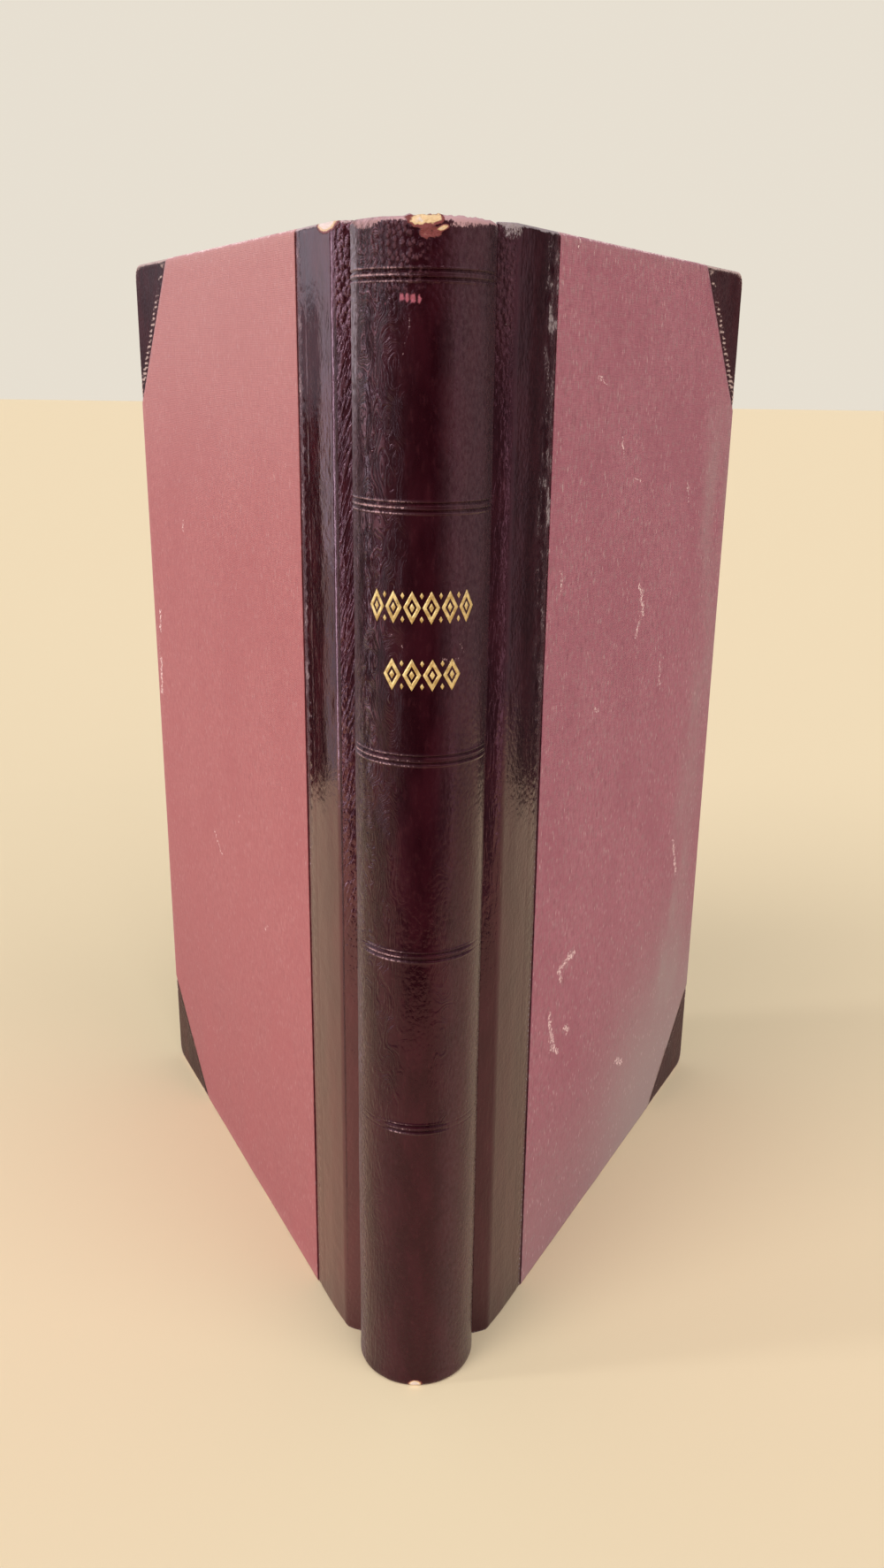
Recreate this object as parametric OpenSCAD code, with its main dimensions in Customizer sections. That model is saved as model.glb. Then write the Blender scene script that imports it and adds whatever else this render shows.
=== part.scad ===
// Half-leather minute book with a spring back, standing on its tail with both covers
// swung open. The pages stand between the covers, the spine faces -Y, +Z is up, and
// the origin is the centre of the book's footprint on the table.

/* [Pages] */
// Height of a leaf
page_h = 328; // [290:1:380]
// Width of a leaf, from its fold to the fore-edge
page_w = 201.5; // [160:0.5:260]
// Thickness of all the pages pressed together
pages_t = 33.6; // [24:0.2:50]
// Depth of the rounded back, and so of the hollow fore-edge
round_depth = 9; // [5:0.5:10]
// Thickness of a flyleaf
flyleaf_t = 0.3; // [0.2:0.05:0.5]

/* [Sewing and linings] */
// Thickness of the tapes and of the linings between them
lining_t = 0.8; // [0.5:0.1:1.2]
// Number of tapes that the sections are sewn on
tape_count = 5; // [3:1:6]
// Width of a tape
tape_w = 14; // [8:1:20]
// Distance from the ends of the pages to the linings
lining_inset = 14; // [13:1:20]
// Width of the headband's roll
headband_w = 1.6; // [1:0.1:2.5]
// Height of the headband above the pages, to the middle of its round top
headband_h = 0.9; // [0.5:0.1:1.5]

/* [Covers] */
// Angle between each open cover and its closed place
cover_open = 27.7; // [0:0.1:100]
// Thickness of the board, split on its inner side to take the lever
board_t = 3.6; // [3:0.1:5]
// Thickness of the board left on the inside of the split
split_t = 1; // [0.6:0.1:1.2]
// Thickness of the lever, the stiff strip that is glued into the split
lever_t = 1.2; // [0.8:0.1:1.6]
// Width of the lever inside the board
lever_w = 45; // [30:1:70]
// How far the covers stand past the pages at head, tail and fore-edge
cover_past = 4; // [2.5:0.5:7]
// Width of the joint, from the hinge to the leather's ridge on the board
joint_w = 4.2; // [3.5:0.1:7]
// Radius of the covers' outer corners
corner_r = 5; // [2:0.5:8]
// Gap between a closed cover and the flyleaf
closed_gap = 0.3; // [0.2:0.05:0.8]

/* [Leather] */
// Thickness of the leather on the spine and in the joints
spine_leather_t = 1; // [0.8:0.1:1.4]
// Thickness of the pared leather on the covers
side_leather_t = 0.6; // [0.4:0.1:0.9]
// Width of leather that shows on a cover, from the ridge to the cloth
strip_w = 24; // [15:0.5:45]
// Leg of a leather corner along the head or the tail
corner_leg = 46; // [25:1:60]
// Leg of a head corner down the fore-edge
head_corner_leg = 51; // [25:1:70]
// Leg of a tail corner up the fore-edge
tail_corner_leg = 41; // [25:1:70]
// Width of leather and cloth turned in on the inside of a cover
turn_in = 15; // [10:1:20]

/* [Cloth and paper on the covers] */
// How far the cloth stands proud of the leather that it overlaps
cloth_t = 0.25; // [0.15:0.05:0.5]
// Overlap of the cloth on the leather
overlap = 3; // [2:0.5:5]
// Thickness of the material turned in under the pastedown
turned_t = 0.3; // [0.2:0.05:0.5]
// Thickness of the pastedown and of the cloth joint beside it
pastedown_t = 0.25; // [0.15:0.05:0.4]
// Width of the cloth joint on the inside of a cover
cloth_joint_w = 22; // [15:1:32]

/* [Spine] */
// Length of the spine's straight sides, from the hinge to the round
spine_side = 5.2; // [4:0.2:10]
// Thickness of the spring's rolled board
spring_t = 2; // [1.5:0.1:2.6]
// How much lower the spine's head is than the covers' head
spine_drop = 1; // [0.5:0.1:3]
// Depth of the leather turned in inside the spring
spine_turn_in = 12; // [6:1:12]
// Thickness of the leather turned in inside the spring
spine_turned_t = 0.5; // [0.4:0.1:0.7]

/* [Tooling] */
// Distance from the spine's head to the first pair of lines
first_line = 12.6; // [8:0.1:25]
// Heights of the panels between pairs of lines, from the head down
panel_heights = [53.4, 65, 56.8, 54.7]; // [40:0.1:68]
// Distance between the two lines of a pair
line_gap = 1.8; // [1.4:0.1:3]
// Width of a tooled line
line_w = 0.7; // [0.4:0.1:1.2]
// Depth of a tooled line
line_depth = 0.35; // [0.2:0.05:0.6]

/* [Hidden] */
$fn = 96;
// Radius of the bead along the hinge, and its running clearance
bead_r = 0.5;
bead_gap = 0.15;
// Gap between the back of the pages and what grips it
back_gap = 0.3;
// Thickness of the glue under the tapes and linings
glue_t = 0.1;
// Gap between the spring's edges and the hinge
spring_edge_gap = 0.9;
// Clearance of the lever and the cloth joint from the leather between hinge and ridge
joint_gap = 0.3;
// Distance from the head and tail of a board to its lever
lever_inset = 18;
// Margin of the pastedown inside the edges of the cover
pastedown_margin = 5;
// Start and length of the slope from the gripped back to the full thickness of the pages
shoulder_y = -1;
shoulder_h = 4;
// Cutters reach this far past what they cut
past = 1;

cover_h = page_h + 2 * cover_past;
spine_h = cover_h - spine_drop;

// A closed cover's inside lies at closed_x, and its hinge is the spine's outer edge
closed_x = pages_t / 2 + flyleaf_t + closed_gap;
hinge_depth = spine_leather_t / 2;
spine_r = closed_x + hinge_depth;
spine_y = -spine_side;
spring_out_r = spine_r - spine_leather_t;
spring_in_r = spring_out_r - spring_t;
turned_r = spring_in_r - spine_turned_t;

// The rounded back of the pages fits between the spring's sides
back_x = turned_r - back_gap;
back_y = spine_y - round_depth;
back_r = (pow(back_x, 2) + pow(round_depth, 2)) / (2 * round_depth);
back_centre = back_y + back_r;
fore_y = back_y + page_w;
fore_r = (pow(pages_t / 2, 2) + pow(round_depth, 2)) / (2 * round_depth);
block_y = fore_y + round_depth;

// A cover in its own frame: X runs to the fore-edge, the inside is y = 0, -Y is outwards
cover_w = block_y + cover_past;
inner_skin = turned_t + pastedown_t;
board_x = joint_w + side_leather_t;
board_y = -inner_skin - board_t;
leather_y = board_y - side_leather_t;
strip_x = board_x + strip_w;
lever_y = -inner_skin - split_t;
corner_lap = overlap * 1.4;

// The leather between hinge and ridge runs at web_tilt, tangent to the rounded ridge
web_reach = norm([board_x, board_y + hinge_depth]);
web_turn = asin(side_leather_t / web_reach);
web_tilt = atan2(board_y + hinge_depth, board_x) - web_turn;

cover_y = cover_w * cos(cover_open) + (hinge_depth - pastedown_t) * sin(cover_open);
footprint_y = (spine_y - spine_r + max(block_y, cover_y)) / 2;

lining_z = cover_past + lining_inset;
lining_h = page_h - 2 * lining_inset;
lining_panel = (lining_h - tape_count * tape_w) / (tape_count + 1);
tape_step = tape_w + lining_panel;

// Moves what is modelled round the hinges' plane to the footprint's centre
module on_table() {
    translate([0, -footprint_y, 0]) children();
}

// Places a cover's piece on its hinge: the front cover is at +X, the back one mirrors it
module on_cover(side) {
    on_table()
        mirror([side == "back" ? 1 : 0, 0, 0])
            translate([spine_r, 0, 0])
                rotate([0, 0, 90 - cover_open])
                    translate([0, hinge_depth, 0])
                        children();
}

// What rounding takes off a corner at the origin, whose material lies at -X and +Y
module corner_waste(r) {
    difference() {
        translate([-r, -past]) square(r + past);
        translate([-r, r]) circle(r);
    }
}

// Outline of the pages seen from above
module pages_plan() {
    shoulder_end = shoulder_y + shoulder_h;
    intersection() {
        translate([0, back_centre]) circle(back_r);
        translate([-back_x, back_y]) square([2 * back_x, round_depth]);
    }
    difference() {
        polygon([
            [-back_x, spine_y], [back_x, spine_y],
            [back_x, shoulder_y], [pages_t / 2, shoulder_end],
            [pages_t / 2, block_y], [-pages_t / 2, block_y],
            [-pages_t / 2, shoulder_end], [-back_x, shoulder_y]
        ]);
        translate([0, fore_y + fore_r]) circle(fore_r);
    }
}

// The pages, gripped and rounded at the back and hollow at the fore-edge
module text_block() {
    color("#e6dcc3")
        on_table()
            translate([0, 0, cover_past]) linear_extrude(page_h) pages_plan();
}

module flyleaf(side) {
    start = shoulder_y + shoulder_h;
    color("#e9dfc8")
        on_table()
            mirror([side == "back" ? 1 : 0, 0, 0])
                translate([pages_t / 2, start, cover_past])
                    cube([flyleaf_t, block_y - start, page_h]);
}

// A stretch of lining or tape glued to the round of the back
module back_strip(z, h) {
    half_w = back_x - 2 * lining_t;
    lift = glue_t + lining_t;
    translate([0, 0, z])
        linear_extrude(h)
            intersection() {
                translate([0, back_centre])
                    difference() {
                        circle(back_r + lift);
                        circle(back_r + glue_t);
                    }
                translate([-half_w, back_y - lift]) square([2 * half_w, round_depth + lift]);
            }
}

module sewing_tapes() {
    color("#d9cfb4")
        on_table()
            for (i = [0 : tape_count - 1])
                back_strip(lining_z + lining_panel + i * tape_step, tape_w);
}

module spine_linings() {
    color("#8d6d4f")
        on_table()
            for (i = [0 : tape_count])
                back_strip(lining_z + i * tape_step, lining_panel);
}

// A flat-footed roll that follows the round of the back, at the head or upside down
module headband(z, head) {
    sweep = 2 * asin((back_x - headband_w) / back_r);
    roll_r = headband_w / 2;
    color("#7c2f35")
        on_table()
            translate([0, back_centre, z])
                mirror([0, 0, head ? 0 : 1])
                    rotate([0, 0, -90 - sweep / 2])
                        rotate_extrude(angle = sweep)
                            translate([back_r - headband_w, 0]) {
                                square([headband_w, headband_h]);
                                translate([roll_r, headband_h])
                                    difference() {
                                        circle(roll_r);
                                        translate([-headband_w, -headband_w])
                                            square([2 * headband_w, headband_w]);
                                    }
                            }
}

// Sweeps an outline drawn in radius and height round the book's back and up to y = side_end
module round_back(side_end) {
    translate([0, spine_y, 0])
        rotate([0, 0, 180])
            rotate_extrude(angle = 180) children();
    for (s = [0, 1])
        mirror([s, 0, 0])
            translate([0, side_end, 0])
                rotate([90, 0, 0])
                    linear_extrude(side_end - spine_y) children();
}

// The spring: board rolled to a clip that grips the back of the pages
module spring_back() {
    color("#a98a63")
        on_table()
            round_back(-spring_edge_gap)
                translate([spring_in_r, spine_leather_t])
                    square([spring_t, spine_h - 2 * spine_leather_t]);
}

// Height of the middle of pair n, counted from the head
function line_z(n) = n == 0 ? spine_h - first_line : line_z(n - 1) - panel_heights[n - 1];

// Section of the spine's outer wall, rounded at both ends and blind tooled with double lines
module spine_wall() {
    line_r = (pow(line_w / 2, 2) + pow(line_depth, 2)) / (2 * line_depth);
    difference() {
        translate([spring_out_r, 0]) square([spine_leather_t, spine_h]);
        translate([spine_r, 0]) corner_waste(spine_leather_t);
        translate([spine_r, spine_h]) mirror([0, 1]) corner_waste(spine_leather_t);
        for (n = [0 : len(panel_heights)], s = [-1, 1])
            translate([spine_r + line_r - line_depth, line_z(n) + s * line_gap / 2])
                circle(line_r);
    }
}

// Section of the leather turned in over one end of the spring
module spine_turn() {
    translate([turned_r, 0]) square([spring_out_r - turned_r, spine_leather_t]);
    translate([turned_r, 0]) square([spine_turned_t, spine_leather_t + spine_turn_in]);
}

// The spine's leather, which wraps the spring and is turned in over its ends
module spine_leather() {
    color("#41191f")
        on_table()
            difference() {
                union() {
                    round_back(0) spine_wall();
                    round_back(-spring_edge_gap) {
                        spine_turn();
                        translate([0, spine_h]) mirror([0, 1]) spine_turn();
                    }
                }
                for (s = [-1, 1])
                    translate([s * spine_r, 0, -past])
                        cylinder(r = bead_r + bead_gap, h = spine_h + 2 * past);
            }
}

// Outline of a cover from x0 to its fore-edge, drawn in x and z and inset from the edges
module cover_outline(x0, inset = 0) {
    r = corner_r - inset;
    x1 = cover_w - inset;
    difference() {
        translate([x0, inset]) square([x1 - x0, cover_h - 2 * inset]);
        translate([x1, inset]) corner_waste(r);
        translate([x1, cover_h - inset]) mirror([0, 1]) corner_waste(r);
    }
}

// Raises an outline drawn in x and z to a slab that runs outwards from y to y_out
module slab(y, y_out) {
    translate([0, y, 0])
        rotate([90, 0, 0])
            linear_extrude(y - y_out) children();
}

module board_envelope() {
    slab(-inner_skin, board_y) cover_outline(board_x, side_leather_t);
}

// Distance from the hinge at which the inner side of the web has sunk to y, plus clearance
function clear_of_web(y) =
    (spine_leather_t - (hinge_depth + y) * cos(web_tilt)) / -sin(web_tilt) + joint_gap;

module lever_solid() {
    x0 = min(clear_of_web(lever_y - lever_t), board_x);
    slab(lever_y, lever_y - lever_t)
        translate([x0, lever_inset])
            square([board_x + lever_w - x0, cover_h - 2 * lever_inset]);
}

// The part of the inside of a cover that nothing is turned in over
module inside_window() {
    slab(0, -inner_skin)
        translate([0, turn_in]) square([cover_w - turn_in, cover_h - 2 * turn_in]);
}

// The triangle of a corner, grown past its slanted edge by a lap
module corner_outline(leg, lap = 0) {
    x = corner_leg + lap;
    z = leg + lap;
    translate([cover_w, 0])
        polygon([[past, -past], [-x - past * x / z, -past], [past, z + past * z / x]]);
}

module at_head() {
    translate([0, cover_h]) mirror([0, 1]) children();
}

// A skin wrapped round the board's face, its edges and in over its inside
module wrapped(x0) {
    difference() {
        intersection() {
            slab(-pastedown_t, leather_y) cover_outline(x0);
            slab(0, leather_y - past) children();
        }
        board_envelope();
        inside_window();
    }
}

// Board split from its spine edge, with room for the lever between the layers
module board(side) {
    color("#9c7d57")
        on_cover(side)
            difference() {
                board_envelope();
                lever_solid();
            }
}

module lever(side) {
    color("#86694a") on_cover(side) lever_solid();
}

// Plan of the leather that runs from the bead on the hinge to the ridge on the board
module joint_plan() {
    translate([0, -hinge_depth]) {
        circle(bead_r);
        rotate(web_tilt) square([web_reach * cos(web_turn), spine_leather_t]);
    }
    translate([board_x, board_y]) circle(side_leather_t);
}

// Leather from the hinge over the ridge and on to the cover, turned in at head and tail
module leather_joint(side) {
    color("#3b1a20")
        on_cover(side) {
            difference() {
                linear_extrude(cover_h) joint_plan();
                board_envelope();
            }
            wrapped(board_x)
                translate([board_x, 0]) square([strip_w + overlap, cover_h]);
        }
}

module corner(side, head) {
    color("#3f1d22")
        on_cover(side)
            wrapped(strip_x) {
                if (head) at_head() corner_outline(head_corner_leg, corner_lap);
                else corner_outline(tail_corner_leg, corner_lap);
            }
}

// Cloth wrapped round the board, with a face that laps over the leather's edges
module cloth_side(side) {
    color("#a9606a")
        on_cover(side) {
            wrapped(strip_x + overlap)
                difference() {
                    square([cover_w, cover_h]);
                    corner_outline(tail_corner_leg, corner_lap);
                    at_head() corner_outline(head_corner_leg, corner_lap);
                }
            slab(leather_y, leather_y - cloth_t)
                difference() {
                    cover_outline(strip_x);
                    corner_outline(tail_corner_leg);
                    at_head() corner_outline(head_corner_leg);
                }
        }
}

// Paper or cloth on the inside, thicker where it fills the window between the turned-in edges
module inside_lining(x0, x1) {
    slab(0, -pastedown_t)
        translate([x0, pastedown_margin])
            square([x1 - x0, cover_h - 2 * pastedown_margin]);
    intersection() {
        inside_window();
        slab(-pastedown_t, -inner_skin)
            translate([max(x0, board_x), 0]) square([x1 - max(x0, board_x), cover_h]);
    }
}

module pastedown(side) {
    color("#e4d8bd")
        on_cover(side) inside_lining(cloth_joint_w, cover_w - pastedown_margin);
}

module cloth_joint(side) {
    color("#5e2a30")
        on_cover(side) inside_lining(clear_of_web(-pastedown_t), cloth_joint_w);
}

text_block();
flyleaf("front");  // front_flyleaf
flyleaf("back");  // back_flyleaf
sewing_tapes();
spine_linings();
headband(cover_past + page_h, true);  // head_band
headband(cover_past, false);  // tail_band
spring_back();
spine_leather();
board("front");  // front_board
lever("front");  // front_lever
leather_joint("front");  // front_leather_joint
cloth_side("front");  // front_cloth_side
corner("front", true);  // front_head_corner
corner("front", false);  // front_tail_corner
pastedown("front");  // front_pastedown
cloth_joint("front");  // front_cloth_joint
board("back");  // back_board
lever("back");  // back_lever
leather_joint("back");  // back_leather_joint
cloth_side("back");  // back_cloth_side
corner("back", true);  // back_head_corner
corner("back", false);  // back_tail_corner
pastedown("back");  // back_pastedown
cloth_joint("back");  // back_cloth_joint
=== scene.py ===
"""The look of a half-leather minute book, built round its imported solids."""

import math

import bmesh
import bpy
import numpy as np
from mathutils import Matrix, Vector


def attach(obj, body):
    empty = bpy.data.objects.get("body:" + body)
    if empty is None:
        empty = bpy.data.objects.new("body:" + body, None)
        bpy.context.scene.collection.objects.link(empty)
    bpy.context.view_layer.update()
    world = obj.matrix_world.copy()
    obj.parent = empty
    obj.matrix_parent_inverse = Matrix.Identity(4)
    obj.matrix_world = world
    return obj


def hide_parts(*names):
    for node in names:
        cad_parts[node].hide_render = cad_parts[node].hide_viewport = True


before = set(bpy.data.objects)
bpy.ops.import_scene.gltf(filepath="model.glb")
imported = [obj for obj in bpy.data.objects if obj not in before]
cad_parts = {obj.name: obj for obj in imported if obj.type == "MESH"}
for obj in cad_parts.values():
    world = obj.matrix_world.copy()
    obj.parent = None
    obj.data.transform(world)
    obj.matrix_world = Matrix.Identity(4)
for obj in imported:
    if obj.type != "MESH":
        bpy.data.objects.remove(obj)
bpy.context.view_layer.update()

# Lengths in mm, the same as in the part's source.
MM = 0.001
PAGE_H, PAGES_T, COVER_PAST = 328, 33.6, 4
COVER_W, COVER_H, SPINE_H = 200.3, 336, 335
SPINE_R, SPINE_SIDE, SPINE_T = 17.9, 5.2, 1
HINGE_DEPTH, FOOT_Y = 0.5, 86.6
BOARD_X, FACE_Y, INSIDE_Y, RIDGE_R = 4.8, -4.75, -0.25, 0.6
STRIP_X, OVERLAP, TURN_IN, CORNER_R = 28.8, 3, 14.8, 5
CORNER_LEG, HEAD_LEG, TAIL_LEG = 46, 51, 41
BACK_X, BACK_Y, ROUND_DEPTH = 14.1, -14.2, 9
BLOCK_Y = 196.3
LINES = [322.4, 269.0, 204.0, 147.2, 92.5]
LINE_GAP = 1.8
LINE_REACH = [26, 24, 21, 14, 6]
OPEN = math.radians(27.7)
SIN, COS = math.sin(OPEN), math.cos(OPEN)
ARC = math.pi * SPINE_R

# Lengths in mm of this script's own: the skins' thickness, the scalloped border, the gilt
# over and under the leather, and the height where the spine's head and tail meet.
LEATHER_SKIN, CLOTH_SKIN = 0.3, 0.24
SCALLOP_PITCH, SCALLOP_DEPTH, SCALLOP_X = 4.0, 2.4, 25.9
GILT_PROUD, GILT_SUNK = 0.05, -0.1
WAIST = 167


# Numbers: smooth noise, soft steps and marks.


def tables(seed):
    return np.random.default_rng(seed).random((256, 256))


NOISE = {seed: tables(seed) for seed in range(1, 16)}


def noise(x, y, seed):
    """Smooth noise from 0 to 1, one bump to a unit."""
    table = NOISE[seed]
    xi, yi = np.floor(x).astype(int), np.floor(y).astype(int)
    fx, fy = x - xi, y - yi
    fx, fy = fx * fx * (3 - 2 * fx), fy * fy * (3 - 2 * fy)
    a, b = table[yi % 256, xi % 256], table[yi % 256, (xi + 1) % 256]
    c, d = table[(yi + 1) % 256, xi % 256], table[(yi + 1) % 256, (xi + 1) % 256]
    return (a * (1 - fx) + b * fx) * (1 - fy) + (c * (1 - fx) + d * fx) * fy


def cloud(x, y, seed, octaves=3):
    """Noise of several sizes, from -1 to 1."""
    total, weight = 0, 0
    for k in range(octaves):
        total = total + noise(x * 2**k, y * 2**k, seed + k) / 2**k
        weight += 1 / 2**k
    return 2 * total / weight - 1


def rise(x, low, high):
    """A soft step from 0 at low to 1 at high."""
    t = np.clip((x - low) / (high - low), 0, 1)
    return t * t * (3 - 2 * t)


def hump(x, middle, half):
    return np.exp(-(((x - middle) / half) ** 2))


def spot(x, y, cx, cy, rx, ry, turn=0):
    """1 in the middle of a tilted oval, 0 from its rim on."""
    c, s = math.cos(math.radians(turn)), math.sin(math.radians(turn))
    dx, dy = x - cx, y - cy
    d = np.hypot((dx * c + dy * s) / rx, (dy * c - dx * s) / ry)
    return 1 - rise(d, 0.35, 1)


def stroke(x, y, points, half):
    """1 on a line through the points, 0 from half its width on."""
    best = np.full(np.shape(x), 1e9)
    for (ax, ay), (bx, by) in zip(points[:-1], points[1:]):
        dx, dy = bx - ax, by - ay
        t = np.clip(((x - ax) * dx + (y - ay) * dy) / (dx * dx + dy * dy), 0, 1)
        best = np.minimum(best, np.hypot(x - ax - t * dx, y - ay - t * dy))
    return 1 - rise(best, 0.3 * half, half)


# Meshes.


def added(name, data):
    """A new object of this data, in the scene."""
    obj = bpy.data.objects.new(name, data)
    bpy.context.scene.collection.objects.link(obj)
    return obj


def piece(name, points, faces, material, body, stands_for=(), marks=None, flip=False):
    """A mesh from points in mm in the row frame, riding on a body."""
    if flip:
        faces = [tuple(reversed(f)) for f in faces]
    mesh = bpy.data.meshes.new(name)
    mesh.from_pydata((np.asarray(points) * MM).tolist(), [], [tuple(map(int, f)) for f in faces])
    for key, values in (marks or {}).items():
        values = np.asarray(values, np.float32)
        kind = "FLOAT_VECTOR" if values.ndim == 2 else "FLOAT"
        field = "vector" if values.ndim == 2 else "value"
        mesh.attributes.new(key, kind, "POINT").data.foreach_set(field, values.ravel())
    mesh.polygons.foreach_set("use_smooth", [True] * len(mesh.polygons))
    mesh.materials.append(material)
    mesh.validate()
    obj = added(name, mesh)
    if body:
        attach(obj, body)
    if stands_for:
        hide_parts(*stands_for)
    return obj


def thicken(obj, mm):
    """Gives an outer skin its thickness, inward."""
    m = obj.modifiers.new("thickness", "SOLIDIFY")
    m.thickness, m.offset, m.use_even_offset = mm * MM, -1, False


def grid_faces(rows, columns):
    i, j = np.meshgrid(np.arange(rows - 1), np.arange(columns - 1), indexing="ij")
    a = i * columns + j
    return np.stack([a, a + 1, a + columns + 1, a + columns], -1).reshape(-1, 4)


def spread(stops):
    """Places along a line: stops are (from, to, step), joined end to end."""
    found = []
    for low, high, step in stops:
        n = max(1, round((high - low) / step))
        found.append(np.linspace(low, high, n + 1)[:-1])
    return np.concatenate(found + [[stops[-1][1]]])


def on_spine(s, depth, z):
    """A point of the spine from its distance round from the middle, its depth and its height."""
    turned = np.clip(s, -ARC / 2, ARC / 2)
    a, beyond = turned / SPINE_R, np.abs(s - turned)
    r = SPINE_R - depth
    return np.stack(
        [r * np.sin(a), beyond - SPINE_SIDE - r * np.cos(a) - FOOT_Y, z + 0 * s], -1
    )


def on_cover(x, y, z, side):
    """A point of a cover: x from the hinge to the fore-edge, y outward is negative."""
    s = 1 if side == "front" else -1
    reach = y + HINGE_DEPTH
    return np.stack(
        [s * (SPINE_R + x * SIN - reach * COS), x * COS + reach * SIN - FOOT_Y, z + 0 * x], -1
    )


# Materials.


class Shade:
    """A node material in the making. Its methods return output sockets."""

    def __init__(self, name, **constants):
        self.mat = bpy.data.materials.new(name)
        self.mat.use_nodes = True
        self.tree = self.mat.node_tree
        self.tree.nodes.clear()
        out = self.tree.nodes.new("ShaderNodeOutputMaterial")
        self.bsdf = self.tree.nodes.new("ShaderNodeBsdfPrincipled")
        self.tree.links.new(self.bsdf.outputs[0], out.inputs[0])
        for key, value in constants.items():
            self.bsdf.inputs[key.replace("_", " ")].default_value = value

    def put(self, socket, value):
        if isinstance(value, bpy.types.NodeSocket):
            self.tree.links.new(value, socket)
        else:
            if socket.type == "RGBA" and len(value) == 3:
                value = (*value, 1)
            socket.default_value = value

    def node(self, kind, ins, out=0, **settings):
        n = self.tree.nodes.new("ShaderNode" + kind)
        for key, value in settings.items():
            setattr(n, key, value)
        for key, value in ins.items():
            self.put(n.inputs[key], value)
        return n.outputs[out]

    def attr(self, name, out=1):
        return self.node("Attribute", {}, out, attribute_name=name)

    def mark(self, name):
        return self.attr(name, 2)

    def place(self):
        return self.node("TexCoord", {}, 3)

    def calc(self, op, a, b, clamp=False):
        return self.node("Math", {0: a, 1: b}, operation=op, use_clamp=clamp)

    def times(self, a, b, clamp=False):
        return self.calc("MULTIPLY", a, b, clamp)

    def plus(self, a, b, clamp=False):
        return self.calc("ADD", a, b, clamp)

    def scaled(self, vector, by):
        return self.node("VectorMath", {0: vector, 1: by}, operation="MULTIPLY")

    def moved(self, vector, by):
        return self.node("VectorMath", {0: vector, 1: by}, operation="ADD")

    def mix(self, share, a, b):
        return self.node("Mix", {0: share, 6: a, 7: b}, 2, data_type="RGBA", clamp_factor=True)

    def span(self, x, low, high, to_low=0.0, to_high=1.0):
        """A soft step of x, from to_low at low to to_high at high."""
        return self.node("MapRange", {0: x, 1: low, 2: high, 3: to_low, 4: to_high},
                         interpolation_type="SMOOTHSTEP")

    def noise(self, vector, scale, detail=2.0, rough=0.5, bend=0.0):
        return self.node(
            "TexNoise",
            {"Vector": vector, "Scale": scale, "Detail": detail, "Roughness": rough,
             "Distortion": bend},
        )

    def cells(self, vector, scale):
        return self.node("TexVoronoi", {"Vector": vector, "Scale": scale}, voronoi_dimensions="2D")

    def streak(self, flat, start, end, half):
        """1 near the line from start to end, fading out just beyond half its width."""
        (ax, ay), (bx, by) = start, end
        along, length = (bx - ax, by - ay, 0), (bx - ax) ** 2 + (by - ay) ** 2
        off = self.moved(flat, (-ax, -ay, 0))
        t = self.node("VectorMath", {0: off, 1: tuple(k / length for k in along)}, 1,
                      operation="DOT_PRODUCT")
        t = self.times(t, 1.0, True)
        near = self.node("VectorMath", {0: along, "Scale": t}, operation="SCALE")
        gap = self.node("VectorMath", {0: off, 1: near}, 1, operation="DISTANCE")
        return self.span(gap, 0.2 * half, 1.5 * half, 1.0, 0.0)

    def total(self, *terms):
        """The sum of (socket, factor) pairs."""
        found = None
        for socket, factor in terms:
            term = self.times(socket, factor)
            found = term if found is None else self.plus(found, term)
        return found

    def finish(self, colour, roughness, height=None):
        """Height is in mm."""
        self.put(self.bsdf.inputs["Base Color"], colour)
        self.put(self.bsdf.inputs["Roughness"], roughness)
        if height is not None:
            n = self.node("Bump", {"Height": height, "Distance": MM, "Strength": 1.0})
            self.tree.links.new(n, self.bsdf.inputs["Normal"])
        return self.mat


DARK_WINE = (0.015, 0.0017, 0.0038)
WINE = (0.030, 0.0042, 0.0080)
DUSTY_SHEEN = (0.098, 0.056, 0.066)
SHEEN_AND_BLOOM = (0.27, 0.225, 0.27)
CREST_HIGHLIGHT = (0.14, 0.058, 0.074)
PINK = (0.42, 0.115, 0.155)
FIBRE = (0.84, 0.60, 0.34)
SKIVED = (0.88, 0.74, 0.68)


def grain(m, flat, wide, tall, bend):
    """Rounded pebbles about wide by tall mm, pushed about by bend mm."""
    push = m.node("TexNoise", {"Vector": m.scaled(flat, (0.3 / wide, 0.5 / tall, 1))}, 1)
    at = m.moved(flat, m.scaled(m.moved(push, (-0.5, -0.5, 0)), (2 * bend, 2 * bend, 0)))
    return m.span(m.cells(m.scaled(at, (1 / wide, 1 / tall, 1)), 1.0), 0.08, 0.78, 1.0, 0.0)


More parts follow.
